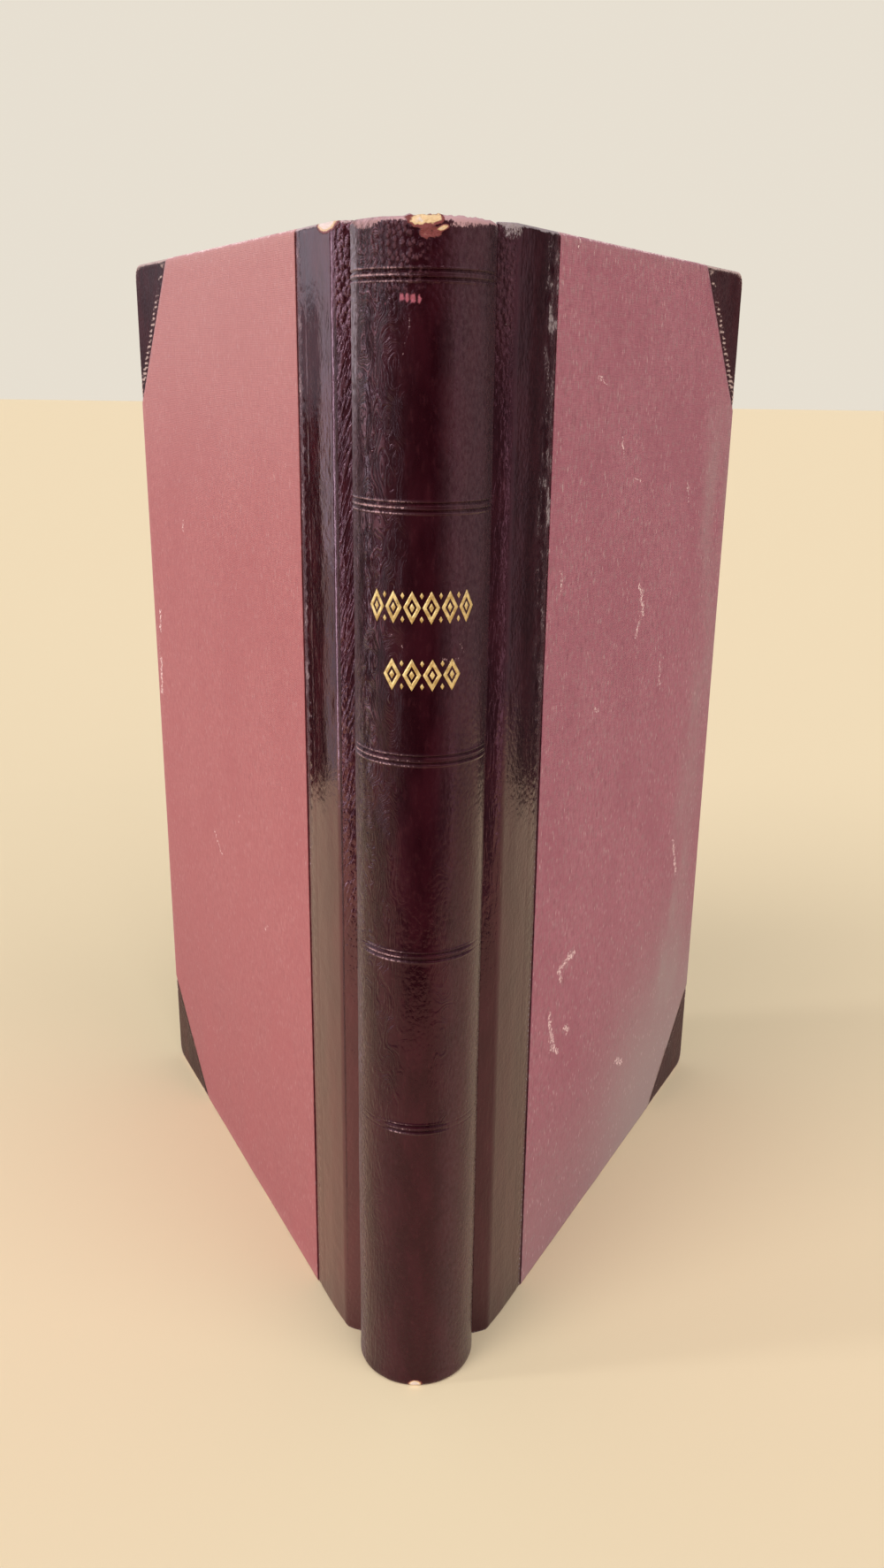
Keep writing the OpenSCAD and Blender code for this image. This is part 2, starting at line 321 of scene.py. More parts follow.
def leather(name, heights, base_rough, ior, rub_colour, red=1.0, crest_highlight=0.5):
    """Dark wine leather. Heights are those in mm of its wrinkles, pebbles and fine grain;
    the last argument is how pale their raised tops are painted: a painted highlight for glints, pale as
    on rubbed tops."""
    m = Shade(name, IOR=ior)
    m.put(m.bsdf.inputs["Specular Tint"], (1.0, 0.54, 0.66))
    flat = m.attr("flat")
    dust_and_sheen_mask, rub, torn, pink = (m.mark(k) for k in ("dust_and_sheen", "rub", "torn", "pink"))
    slanted = m.node("VectorRotate", {"Vector": flat, "Angle": m.mark("slant")},
                     rotation_type="Z_AXIS")
    wrinkles = m.noise(m.scaled(slanted, (0.95, 0.16, 1)), 1.0, 2.0, 0.55, 0.5)
    wrinkles = m.span(wrinkles, 0.40, 0.64)
    pebbles = grain(m, flat, 1.3, 1.7, 0.4)
    fine = m.noise(m.scaled(flat, (1, 0.35, 1)), 2.0, 3.0, 0.6)
    broad = m.noise(m.scaled(flat, (0.12, 0.04, 1)), 1.0, 3.0, 0.5)
    mottled = m.noise(m.scaled(flat, (1, 0.4, 1)), 0.7, 4.0, 0.6)
    dark, light = (tuple(k * f for k, f in zip(c, (red, 1, 1))) for c in (DARK_WINE, WINE))
    colour = m.mix(m.span(broad, 0.35, 0.68), dark, light)
    colour = m.mix(m.span(mottled, 0.52, 0.72, 0.0, 0.3), colour, (0.06, 0.012, 0.017))
    raised = m.calc("MAXIMUM", m.times(wrinkles, m.mark("wrinkle")),
                    m.times(pebbles, m.mark("pebble")))
    # Painted highlight: the raised tops of wrinkles and pebbles are made paler, standing for glints on
    # the grain.
    colour = m.mix(m.span(raised, 0.62, 0.95, 0.0, crest_highlight), colour, CREST_HIGHLIGHT)
    # A film of dust, which the marks also use for painted sheen and painted reflection.
    dust_and_sheen_film = m.times(dust_and_sheen_mask, m.span(m.noise(m.scaled(flat, (1, 0.5, 1)), 1.1, 4.0, 0.65),
                                            0.3, 0.66, 0.35, 1.0))
    colour = m.mix(dust_and_sheen_film, colour, DUSTY_SHEEN)
    # Painted sheen where the film is thickest: pale bluish grey, mostly on the spine's left edge; on
    # the strips' tooled borders it is a pale film.
    colour = m.mix(m.span(dust_and_sheen_film, 0.75, 1.7), colour, SHEEN_AND_BLOOM)
    worn = m.noise(m.scaled(flat, (1.0, 0.5, 1)), 1.9, 4.0, 0.72)
    flecks = m.span(m.plus(worn, m.times(rub, 0.45)), 0.70, 0.88)
    colour = m.mix(flecks, colour, rub_colour)
    flush = m.span(m.plus(m.noise(flat, 1.8, 4.0, 0.7), pink), 0.9, 1.35, 0.0, 0.85)
    colour = m.mix(flush, colour, PINK)
    rags = m.span(m.plus(m.noise(flat, 0.9, 4.0, 0.7), torn), 0.95, 1.1)
    deep = m.plus(m.noise(flat, 0.8, 3.0, 0.6), torn)
    fibre = m.mix(m.span(deep, 1.4, 1.75), (0.22, 0.055, 0.05), FIBRE)
    fibre = m.mix(m.span(deep, 1.95, 2.3), fibre, SKIVED)
    colour = m.mix(rags, colour, fibre)
    rough = m.total((m.span(mottled, 0.35, 0.7, base_rough, base_rough + 0.07), 1.0), (dust_and_sheen_film, 0.3))
    rough = m.plus(rough, m.times(m.calc("MAXIMUM", flecks, rags), 0.4), True)
    height = m.total(
        (m.times(wrinkles, m.mark("wrinkle")), heights[0]),
        (m.times(pebbles, m.mark("pebble")), heights[1]),
        (fine, heights[2]),
        (m.times(rags, m.noise(flat, 1.7, 3.0, 0.7)), 0.5),
        (flecks, -0.05),
    )
    return m.finish(colour, rough, height)


# Scuffs of the cloth: from (x, z) to (x, z) in mm on the cover, and half the width.
FRONT_SCUFFS = [
    ((49, 112), (57, 113.5), 1.3), ((57, 113), (63, 112.5), 1.4), ((52, 107), (50, 112), 0.9),
    ((43.5, 97), (46, 87), 1.5), ((45, 92), (49, 83), 1.3), ((57, 88), (60, 84), 1.3),
    ((46, 84), (52, 80), 1.1), ((112, 46), (118, 42), 1.5), ((106, 232), (111, 222), 1.6),
    ((108, 221), (105, 214), 1.0), ((150, 262), (152, 256), 0.9), ((60, 300), (66, 297), 0.5),
    ((82, 281), (84, 276), 0.6), ((96, 268), (101, 266), 0.5), ((38, 246), (39, 240), 0.5),
    ((70, 196), (73, 195), 0.5), ((132, 200), (134, 190), 0.6), ((164, 120), (170, 104), 1.4),
    ((41.5, 337), (41.3, 333), 0.9),
]
BACK_SCUFFS = [
    ((190, 206), (192, 199), 1.6), ((193, 186), (195, 172), 1.8), ((128, 133), (120, 126), 0.7),
    ((150, 247), (151, 243), 0.6), ((70, 117), (73, 115), 0.5), ((96, 150), (97, 146), 0.5),
]


def cloth(name, low, high, dust_colour, dusty_share, scuffs):
    """Bookcloth: a fine plain weave, faded and dusty."""
    m = Shade(name, IOR=1.4, Sheen_Weight=0.06, Sheen_Roughness=0.5)
    m.put(m.bsdf.inputs["Sheen Tint"], (0.9, 0.75, 0.75))
    flat = m.attr("flat")
    warp, weft = (
        m.node("TexWave", {"Vector": flat, "Scale": 0.62, "Distortion": 0.6, "Detail": 1.0,
                           "Detail Scale": 2.0}, 1, wave_type="BANDS", bands_direction=way)
        for way in "XY"
    )
    slubs = m.noise(m.scaled(flat, (2.4, 0.25, 1)), 1.0, 3.0, 0.6)
    across = m.noise(m.scaled(flat, (0.25, 2.4, 1)), 1.0, 3.0, 0.6)
    broad = m.noise(m.scaled(flat, (0.035, 0.02, 1)), 1.0, 4.0, 0.6)
    mottled = m.noise(flat, 0.45, 4.0, 0.65)
    threads = m.total((slubs, 0.65), (across, 0.35))
    colour = m.mix(m.span(threads, 0.36, 0.64), low, high)
    lines = m.span(m.noise(m.scaled(flat, (1.1, 0.25, 1)), 1.0, 4.0, 0.7), 0.5, 0.72)
    colour = m.mix(m.times(lines, dusty_share * 1.5), colour, dust_colour)
    stains = m.span(m.noise(m.scaled(flat, (0.9, 0.35, 1)), 0.5, 5.0, 0.7), 0.5, 0.75)
    colour = m.mix(m.times(stains, dusty_share * 1.4), colour, tuple(k * 0.6 for k in low))
    # Painted shade: the cloth darker towards its foot.
    colour = m.mix(m.mark("shade"), colour, tuple(k * 0.55 for k in low))
    colour = m.mix(m.span(broad, 0.4, 0.7, 0.0, 0.5), colour, low)
    dust_and_sheen_film = m.times(m.span(mottled, 0.5, 0.78), dusty_share)
    # The mark added here is dust, and on the back cloth's head painted light.
    dust_and_sheen_film = m.plus(dust_and_sheen_film, m.times(m.mark("dust_and_sheen"), 0.75), True)
    colour = m.mix(dust_and_sheen_film, colour, dust_colour)
    specks = m.span(m.cells(m.scaled(flat, (1, 0.38, 1)), 0.42), 0.0, 0.2, 1.0, 0.0)
    specks = m.times(specks, m.span(m.noise(flat, 0.11, 2.0), 0.47, 0.6))
    colour = m.mix(m.times(specks, dusty_share * 1.1), colour, (0.68, 0.50, 0.50))
    push = m.node("TexNoise", {"Vector": flat, "Scale": 0.4, "Detail": 3.0}, 1)
    bent = m.moved(flat, m.scaled(m.moved(push, (-0.5, -0.5, 0)), (6, 6, 0)))
    broken = m.span(m.noise(flat, 1.1, 4.0, 0.7), 0.42, 0.56)
    rub = 0.0
    for start, end, half in scuffs:
        rub = m.calc("MAXIMUM", rub, m.streak(bent, start, end, half))
    rub = m.calc("MAXIMUM", m.mark("rub"), m.times(rub, broken))
    worn = m.noise(m.scaled(flat, (0.8, 1.3, 1)), 1.1, 4.0, 0.75)
    worn = m.span(m.plus(worn, m.times(rub, 0.6)), 0.80, 1.0)
    colour = m.mix(worn, colour, (0.90, 0.66, 0.66))
    height = m.total((warp, 0.035), (weft, 0.035), (threads, 0.05), (mottled, 0.03))
    return m.finish(colour, m.span(mottled, 0.3, 0.7, 0.68, 0.86), height)


def gilt(name):
    """Gold leaf pressed into the leather, rubbed through in places."""
    m = Shade(name, Metallic=0.35, IOR=1.5)
    flat = m.attr("flat")
    rubbed = m.span(m.noise(m.scaled(flat, (1.0, 0.6, 1)), 1.5, 4.0, 0.7), 0.60, 0.68)
    tone = m.noise(flat, 0.5, 3.0, 0.6)
    gold = m.mix(m.span(tone, 0.35, 0.65), (0.60, 0.38, 0.13), (0.92, 0.68, 0.30))
    colour = m.mix(rubbed, gold, (0.06, 0.02, 0.02))
    rough = m.plus(m.span(tone, 0.3, 0.7, 0.34, 0.5), m.times(rubbed, 0.1))
    return m.finish(colour, rough, m.total((m.noise(flat, 2.5, 3.0, 0.6), 0.05)))


def plain(name, low, high, scale, rough, bumpy, stretch=(1, 1, 1)):
    """Paper, board or thread that is mottled between two colours, in object space."""
    m = Shade(name)
    at = m.scaled(m.place(), tuple(k * 1000 for k in stretch))
    fine = m.noise(at, scale, 4.0, 0.6)
    broad = m.noise(at, scale / 18, 3.0, 0.6)
    colour = m.mix(m.total((fine, 0.5), (broad, 0.5)), low, high)
    return m.finish(colour, m.span(fine, 0.3, 0.7, rough - 0.08, rough + 0.08), m.total((fine, bumpy)))


MATERIALS = {
    "spine": leather("spine_leather", (0.26, 0.30, 0.03), 0.12, 1.46, (0.50, 0.30, 0.32)),
    "front_joint": leather("front_joint_leather", (0.20, 0.20, 0.012), 0.10, 1.62,
                           (0.33, 0.285, 0.30), 1.0, 0.25),
    "back_joint": leather("back_joint_leather", (0.22, 0.26, 0.010), 0.10, 2.0,
                          (0.46, 0.36, 0.36), 1.5, 0.32),
    "corner": leather("corner_leather", (0.08, 0.10, 0.03), 0.36, 1.26, (0.52, 0.38, 0.36), 1.6, 0.4),
    "front_cloth": cloth("front_cloth", (0.34, 0.094, 0.142), (0.46, 0.165, 0.22),
                         (0.38, 0.28, 0.28), 0.46, FRONT_SCUFFS),
    "back_cloth": cloth("back_cloth", (0.41, 0.104, 0.117), (0.51, 0.160, 0.17),
                        (0.60, 0.33, 0.33), 0.22, BACK_SCUFFS),
    "gilt": gilt("gilt"),
    "pages": plain("page_edges", (0.50, 0.40, 0.25), (0.74, 0.65, 0.47), 1.6, 0.85, 0.04,
                   (9.0, 0.35, 0.35)),
    "flyleaf": plain("flyleaf_paper", (0.66, 0.58, 0.42), (0.78, 0.71, 0.56), 0.9, 0.8, 0.02),
    "tape": plain("linen_tape", (0.50, 0.43, 0.30), (0.68, 0.61, 0.46), 2.2, 0.9, 0.08),
    "lining": plain("lining_paper", (0.22, 0.14, 0.075), (0.32, 0.21, 0.12), 1.4, 0.85, 0.05),
    "spring": plain("spring_board", (0.30, 0.21, 0.12), (0.42, 0.31, 0.19), 1.1, 0.8, 0.05),
    "board": plain("cover_board", (0.26, 0.19, 0.11), (0.38, 0.29, 0.18), 1.1, 0.85, 0.06),
    "lever": plain("lever_board", (0.20, 0.14, 0.08), (0.30, 0.22, 0.13), 1.2, 0.8, 0.05),
    "pastedown": plain("pastedown_paper", (0.62, 0.53, 0.37), (0.76, 0.68, 0.52), 0.7, 0.8, 0.02),
    "joint_cloth": plain("inner_joint_cloth", (0.085, 0.022, 0.03), (0.13, 0.04, 0.05), 2.4,
                         0.75, 0.08),
    "headband": plain("headband_cord", (0.20, 0.035, 0.045), (0.55, 0.44, 0.30), 1.4, 0.7, 0.1,
                      (1.6, 1.6, 0.1)),
}


# The spine: one skin of leather, tooled with five double lines and turned in over its board.


def spine_rows():
    stops, at = [], 0.0
    for low, high, step in (
        [(0, 4, 0.5)]
        + [(z - 2.1, z + 2.1, 0.14) for z in reversed(LINES)]
        + [(329.5, SPINE_H - SPINE_T, 0.3)]
    ):
        if low > at:
            stops.append((at, low, 0.62))
        stops.append((max(low, at), high, step))
        at = high
    return spread([(SPINE_T, *stops[0][1:])] + stops[1:])


def spine_lift(s, z):
    """How far the leather stands from its plain round form, in mm, outward."""
    lift = 0.14 * cloud(s / 13, z / 34, 1) + 0.05 * cloud(s / 4, z / 6, 5)
    press = 0.8 + 0.35 * cloud(s / 9, z / 40, 3)
    for line, reach in zip(LINES, LINE_REACH):
        whole = 1 - 0.85 * rise(np.abs(s), reach, reach + 5)
        for side in (-1, 1):
            at = z - line - side * LINE_GAP / 2
            lift = lift + whole * press * (0.22 * hump(np.abs(at), 0.6, 0.26) - 0.5 * hump(at, 0, 0.26))
    lift = lift + 0.12 * hump(z, 333.2, 1.5) + 0.1 * hump(z, 1.8, 1.5)
    return lift - 0.35 * np.clip(head_tear(s, z), 0, 1) + 0.35 * spot(s, z, 5.2, 332.6, 1.6, 0.8, 15)


def head_tear(s, z):
    """The torn place at the head: the bare board above 1, the raw leather below it."""
    ragged, ragged_z = 0.9 * cloud(s / 1.5, z / 1.2, 7), 0.7 * cloud(s / 1.2, z / 1.5, 9)
    x, y = s + ragged, z + ragged_z
    top = 1.3 * spot(x, y, 1.0, 334.9, 6.6, 2.9) + 0.5 * spot(x, y, -1.2, 333.4, 3.0, 1.8)
    tail = 0.7 * spot(x, y, 2.0, 331.7, 5.0, 2.3, -14) + 0.2 * spot(x, y, 0.4, 330.8, 1.8, 1.2)
    return np.maximum(top, tail) + 1.3 * spot(s, z, 5.2, 332.6, 1.9, 0.85, 15)


def spine_marks(s, z):
    left, low, high = rise(-s, 2, 13), rise(-z, -190, -120), rise(z, 190, 220)
    edge = rise(-s, 16.5, 22) * rise(-np.abs(s), -28, -26)
    glow = 0 * s
    rub = 0.95 * rise(z, 333.6, 334.8) + 0.5 * rise(-z, -1.6, -0.4)
    rub += 0.35 * rise(z, 331.6, 333.4) * (0.6 + cloud(s / 3, z / 1.2, 2))
    rub += 0.5 * spot(s, z, -15.5, 333.6, 6.5, 1.8) + 0.5 * spot(s, z, 12.5, 333.9, 8, 1.6, 6)
    rub += 0.5 * stroke(s, z, [(-2.4, 314.7), (-3.0, 310.0), (-4.5, 304.8)], 0.35)
    rub += 0.45 * stroke(s, z, [(6.0, 231.4), (8.0, 230.2), (11.0, 230.7)], 0.7)
    rub += 0.6 * stroke(s, z, [(10.9, 235.3), (12.5, 231.7)], 0.45)
    rub += 0.5 * (spot(s, z, -7.3, 237, 0.9, 0.8) + spot(s, z, -4.4, 234.3, 0.8, 0.7))
    rub += 0.15 * hump(z, 334.2, 0.8) * rise(-s, 8, 14)
    pink = 0.34 * rise(z, 332.2, 334.4) * rise(np.abs(s - 1), 3, 7)
    pink = pink * rise(cloud(s / 4, z / 2, 2), -0.4, 0.5)
    for k in range(4):
        pink += 0.68 * spot(s, z, -4.8 + 1.45 * k, 317.6 - 0.22 * k, 0.75, 1.8)
    pink += 0.3 * spot(s, z, -2.7, 317.0, 4.2, 2.0)
    pink += 0.6 * spot(s, z, -8.9, 316.1, 0.8, 0.8)
    for line in LINES:
        rub += 0.16 * hump(z, line, 0.5) * rise(np.abs(s), 2, 14)
    # Painted highlights on the ribs of the tooled lines, left of the middle; they go into the rub marks
    # here and the dust marks below.
    for line, reach in zip(LINES, LINE_REACH):
        ribs = hump(np.abs(z - line), LINE_GAP / 2 + 0.55, 0.3) + hump(z, line, 0.3)
        glow = glow + ribs * rise(-s, -6, 10) * (1 - rise(np.abs(s), reach, reach + 5))
    rub += 0.95 * glow * (0.7 + 0.3 * cloud(s / 3, z / 9, 3))
    torn = head_tear(s, z) + 1.9 * spot(s, z, 0.2, 0.9, 2.9, 2.0)
    # Dust over the right half, and paler low down towards both sides. The 0.1 lift left of the middle
    # is painted reflection; on the last line the ribs' share is painted highlight and the left edge's
    # pale film is painted sheen.
    dust_and_sheen = 0.5 * rise(s, 3, 12) * (1 - 0.6 * hump(z, 188, 42)) * (1 - 0.35 * low)
    dust_and_sheen += 0.12 * low * rise(-s, 6, 14) + 0.15 * low * rise(s, 15, 21) + 0.1 * hump(s, -8, 5)
    dust_and_sheen += 0.6 * glow + edge * (0.95 + 1.5 * rise(z, 275, 322) + 0.3 * cloud(s / 3, z / 12, 8))
    wrinkle = 0.95 * left * rise(30 - np.abs(s), 0, 6) * (0.2 + 0.3 * rise(z, 90, 150) + 0.5 * high)
    wrinkle += 0.06 + 0.4 * low * hump(np.abs(s), 7.5, 3.2) * rise(z, 78, 100)
    pebble = 0.12 + 0.9 * rise(z, 306, 324) * rise(-s, -12, 4) + 0.7 * edge
    slant = 0.12 * cloud(s / 8, z / 20, 4)
    return {"rub": rub, "torn": torn, "dust_and_sheen": dust_and_sheen, "wrinkle": wrinkle, "pebble": pebble,
            "pink": pink, "slant": slant}


def spine_skin():
    """A closed skin: the section runs up the outer face, over the head, down the turned-in
    flap, down the inner face and round the tail."""
    rows = spine_rows()
    bend = np.radians(np.linspace(0, 90, 7))[1:]
    head = [(1 - math.cos(a), SPINE_H - 1 + math.sin(a)) for a in bend]
    flap = [(2.2, SPINE_H), (3.1, SPINE_H), (3.38, SPINE_H - 0.15), (3.5, SPINE_H - 0.5),
            (3.5, SPINE_H - 7), (3.5, SPINE_H - 13), (3.0, SPINE_H - 13), (3.0, SPINE_H - 1),
            (1.0, SPINE_H - 1)]
    plain_flap = [(1, SPINE_H - k) for k in np.linspace(0.2, 8, len(flap))]
    inner = [(1, z) for z in np.linspace(SPINE_H - 14, 14, 20)]

    def mirrored(part):
        return [(d, SPINE_H - z) for d, z in reversed(part)]

    full = head + flap + inner + mirrored(flap) + mirrored(head)
    bare = head + plain_flap + inner + mirrored(plain_flap) + mirrored(head)
    half = ARC / 2 + SPINE_SIDE
    edge = half - 0.9
    columns = spread([(-half, -edge - 0.06, 0.4), (-edge - 0.06, -edge, 0.06),
                      (-edge, edge, 0.56), (edge, edge + 0.06, 0.06), (edge + 0.06, half, 0.4)])
    points, flats = [], []
    for s in columns:
        section = full if abs(s) <= edge + 1e-6 else bare
        z = np.concatenate([rows, [p[1] for p in section]])
        depth = np.concatenate([0 * rows, [p[0] for p in section]])
        lift = spine_lift(s + 0 * z, z) * (1 - rise(depth, 0.4, 1.0))
        lift = lift * rise(half - abs(s), 0, 1.2)
        ends = rise(np.abs(z - WAIST), 163, 167.5) * (depth < 2.9)
        z_out = np.clip(z + 0.25 * cloud(s / 7 + 0 * z, 3.1 + 0 * z, 9) * ends, 0, SPINE_H)
        fray = rise(s, -5.5, -3) * (1 - rise(s, 6, 8)) + 0.45 * rise(s, 6, 8) * (1 - rise(s, 20, 24))
        tuft = np.clip(0.45 + cloud(s / 0.9 + 0 * z, depth / 0.9, 13), 0, 1.1)
        z_out = z_out + 0.8 * fray * tuft * rise(z, 334.1, 334.9) * (depth < 2.6)
        points.append(on_spine(s + 0 * z, depth - lift, np.minimum(z_out, COVER_H - 0.08)))
        flats.append(np.stack([s + 0 * z, z + np.where(z > WAIST, 1, -1) * depth, 0 * z], -1))
    n, count = len(rows) + len(full), len(columns)
    points, flats = np.concatenate(points), np.concatenate(flats)
    i, j = np.meshgrid(np.arange(count - 1), np.arange(n), indexing="ij")
    a, b = i * n + j, i * n + (j + 1) % n
    faces = np.stack([a, a + n, b + n, b], -1).reshape(-1, 4).tolist()
    faces += [list(range(n)), list(range(n * count - 1, n * (count - 1) - 1, -1))]
    marks = spine_marks(flats[:, 0], flats[:, 1])
    marks["flat"] = flats
    return piece("spine_leather_skin", points, faces, MATERIALS["spine"], "book_block",
                 ["spine_leather"], marks)


def pressed(rings, name):
    """Thin gold shapes on the spine. Each is (outline in (s, z), hole), where the hole is None
    or (its middle, its share of the outline). They are closed, with sides into the leather."""
    points, flats, faces = [], [], []

    def add(outline, lift):
        start = len(points)
        for s, z in outline:
            s, z = np.array(s, float), np.array(z, float)
            points.append(on_spine(s, -(spine_lift(s, z) + lift), z))
            flats.append((s, z, 0))
        return list(range(start, len(points)))

    def finely(outline):
        found = []
        for (a, b), (c, d) in zip(outline, outline[1:] + outline[:1]):
            n = max(1, round(math.hypot(c - a, d - b) / 0.5))
            found += [(a + (c - a) * k / n, b + (d - b) * k / n) for k in range(n)]
        return found

    for outer, hole in rings:
        outer = finely(outer)
        if hole is None:
            centre = [tuple(np.mean(outer, 0))]
            top, foot = add(outer, GILT_PROUD), add(outer, GILT_SUNK)
            middle, under = add(centre, GILT_PROUD)[0], add(centre, GILT_SUNK)[0]
            for a, b, c, d in zip(top, top[1:] + top[:1], foot[1:] + foot[:1], foot):
                faces.extend([[a, b, middle], [d, c, b, a], [c, d, under]])
            continue
        n = len(outer)
        (cs, cz), share = hole
        inner = [(cs + (s - cs) * share, cz + (z - cz) * share) for s, z in outer]
        a, b = add(outer, GILT_PROUD), add(inner, GILT_PROUD)
        c, d = add(inner, GILT_SUNK), add(outer, GILT_SUNK)
        for k in range(n):
            j = (k + 1) % n
            faces.extend([[a[k], a[j], b[j], b[k]], [b[k], b[j], c[j], c[k]],
                          [c[k], c[j], d[j], d[k]], [d[k], d[j], a[j], a[k]]])
    return piece(name, points, faces, MATERIALS["gilt"], "book_block",
                 marks={"flat": np.array(flats)})


def lozenge(s, z, half_w, half_h):
    return [(s + half_w, z), (s, z + half_h), (s - half_w, z), (s, z - half_h)]


def ornament():
    """Two rows of gold lozenges where a title would stand, a plain and common border."""
    rings = []
    for middle, z, units, width in ((0.6, 244.3, 6, 29.6), (0.8, 226.9, 4, 21.3)):
        pitch = width / units
        for k in range(units):
            s = middle + (k - (units - 1) / 2) * pitch
            rings.append((lozenge(s, z, pitch * 0.46, 4.2), ((s, z), 0.56)))
            rings.append((lozenge(s, z, pitch * 0.13, 1.2), None))
            if k:
                for up in (-1, 1):
                    rings.append((lozenge(s - pitch / 2, z + up * 3.0, 0.5, 0.85), None))
    return pressed(rings, "gilt_lozenges")


# The covers: the leather of the joint and strip, cloth sides and leather corners.


def joint_path():
    """The outer line of a cover's leather in plan, from the hinge to under the cloth, the
    line inside it where its turned-in ends reach, and the distance along it."""
    cx, cy = BOARD_X, FACE_Y + RIDGE_R
    reach = math.hypot(cx, cy + HINGE_DEPTH)
    tilt = math.atan2(cy + HINGE_DEPTH, cx) - math.asin(RIDGE_R / reach)
    run = math.sqrt(reach**2 - RIDGE_R**2)
    ux, uy = math.cos(tilt), math.sin(tilt)
    t = spread([(0, run - 0.9, 0.34)])
    outer = [(k * ux, -HINGE_DEPTH + k * uy) for k in t]
    inner = [(x - uy * SPINE_T, y + ux * SPINE_T) for x, y in outer]
    start, corner, end = outer[-1], (run * ux + 0.12, FACE_Y), (cx + 1.3, FACE_Y)
    foot, top = inner[-1], (cx + 0.8, INSIDE_Y)
    for k in np.linspace(0, 1, 11)[1:]:
        outer.append(tuple((1 - k) ** 2 * a + 2 * k * (1 - k) * b + k * k * c
                           for a, b, c in zip(start, corner, end)))
        inner.append((foot[0] + (top[0] - foot[0]) * k**2, foot[1] + (top[1] - foot[1]) * k))
    xs = spread([(end[0], 20, 0.55), (20, STRIP_X + 0.4, 0.36),
                 (STRIP_X + 0.4, STRIP_X + OVERLAP, 1)])[1:]
    outer += [(x, FACE_Y) for x in xs]
    inner += [(x, INSIDE_Y) for x in xs]
    outer, inner = np.array(outer), np.array(inner)
    along = np.concatenate([[0], np.cumsum(np.hypot(*np.diff(outer, axis=0).T))])
    return outer, inner, along + (end[0] - along[len(t) + 9])


def scallop(u, z):
    """1 on the grey border beside the cloth, 0 on the leather: a row of half rounds."""
    t = z / SCALLOP_PITCH - np.floor(z / SCALLOP_PITCH)
    round_part = np.sqrt(np.clip(1 - (2 * t - 1) ** 2, 0, 1))
    edge = SCALLOP_X - SCALLOP_DEPTH * (1 - round_part)
    return rise(u, edge - 0.35, edge + 0.35)


def strip_marks(u, z, side):
    border, ragged = scallop(u, z) * rise(STRIP_X - 0.5 - u, -0.25, 0.25), cloud(u / 1.6, z / 3.4, 4, 4)
    near_cloth, band = rise(u, 17, 24), rise(-u, -4.4, -3.2)
    high = rise(z, 120, 220)
    ticks = hump(u, STRIP_X - 1.3, 0.35) * rise(np.abs(z / 2 - np.floor(z / 2) - 0.5), 0.2, 0.3)
    if side == "front":
        zone = 0.5 * rise(z, 185, 215) + 0.7 * hump(z, 316, 14) + 0.8 * hump(z, 262, 20)
        scuffed = near_cloth * zone
        rub = np.minimum(0.30 + ragged, 0.62) * scuffed + 0.25 * border * (1 - scuffed)
        rub += 0.3 * hump(u, 1.2, 0.7) * (0.3 + ragged)
        rub += 0.6 * spot(u, z, 3.0, 334.4, 5.0, 3.4) + 0.5 * spot(u, z, 18.5, 336.0, 4.2, 1.7)
        rub += 0.5 * ticks * (1 - high)
        # Dust, most on the scuffed leather by the cloth; the web by the hinge gets less, which is
        # painted shade for its groove.
        dust_and_sheen = 0.14 - 0.1 * band + 0.35 * scuffed * (0.5 + 1.5 * ragged)
        dust_and_sheen += 0.2 * band * rise(z, 285, 325) + 0.35 * border * high
        wrinkle, pebble = 0.04 + 0.2 * band, 0.12 + 0.8 * band * rise(z, 280, 318)
        torn, pink = 0 * u, 0.5 * spot(u, z, 18.5, 336.6, 4.6, 2.0)
    else:
        rub = 0.5 * border * (0.6 + ragged) * (0.2 + 0.8 * high) + 0.5 * ticks * (1 - high)
        rub += 0.3 * hump(u, 20, 5) * rise(cloud(u / 1.2, z / 1.6, 11), 0.62, 0.75)
        dust_and_sheen = 0.03 + 0.9 * border * (0.1 + 0.9 * high) * (0.8 + 0.4 * ragged)
        wrinkle = 0.02 + band * (0.35 + 0.65 * high) * rise(-z, -322, -300)
        pebble = 0.05 + 0.95 * band * rise(z, 296, 318) + 0.12 * band
        torn = 2.6 * spot(u, z, 7.8, 337.2, 7.8, 4.8)
        pink = 0.5 * band * rise(z, 330.5, 335.4)
    rub += 0.15 * hump(u, 4.6, 0.9) * (0.5 + 0.5 * cloud(u / 2, z / 9, 6))
    rub += 0.85 * rise(z, 334.6, 335.8) + 0.6 * rise(-z, -1.4, 0)
    return {
        "rub": rub, "torn": torn, "dust_and_sheen": dust_and_sheen, "wrinkle": wrinkle, "pink": pink,
        "pebble": pebble, "slant": -0.3 * band * (1 if side == "back" else 0),
    }


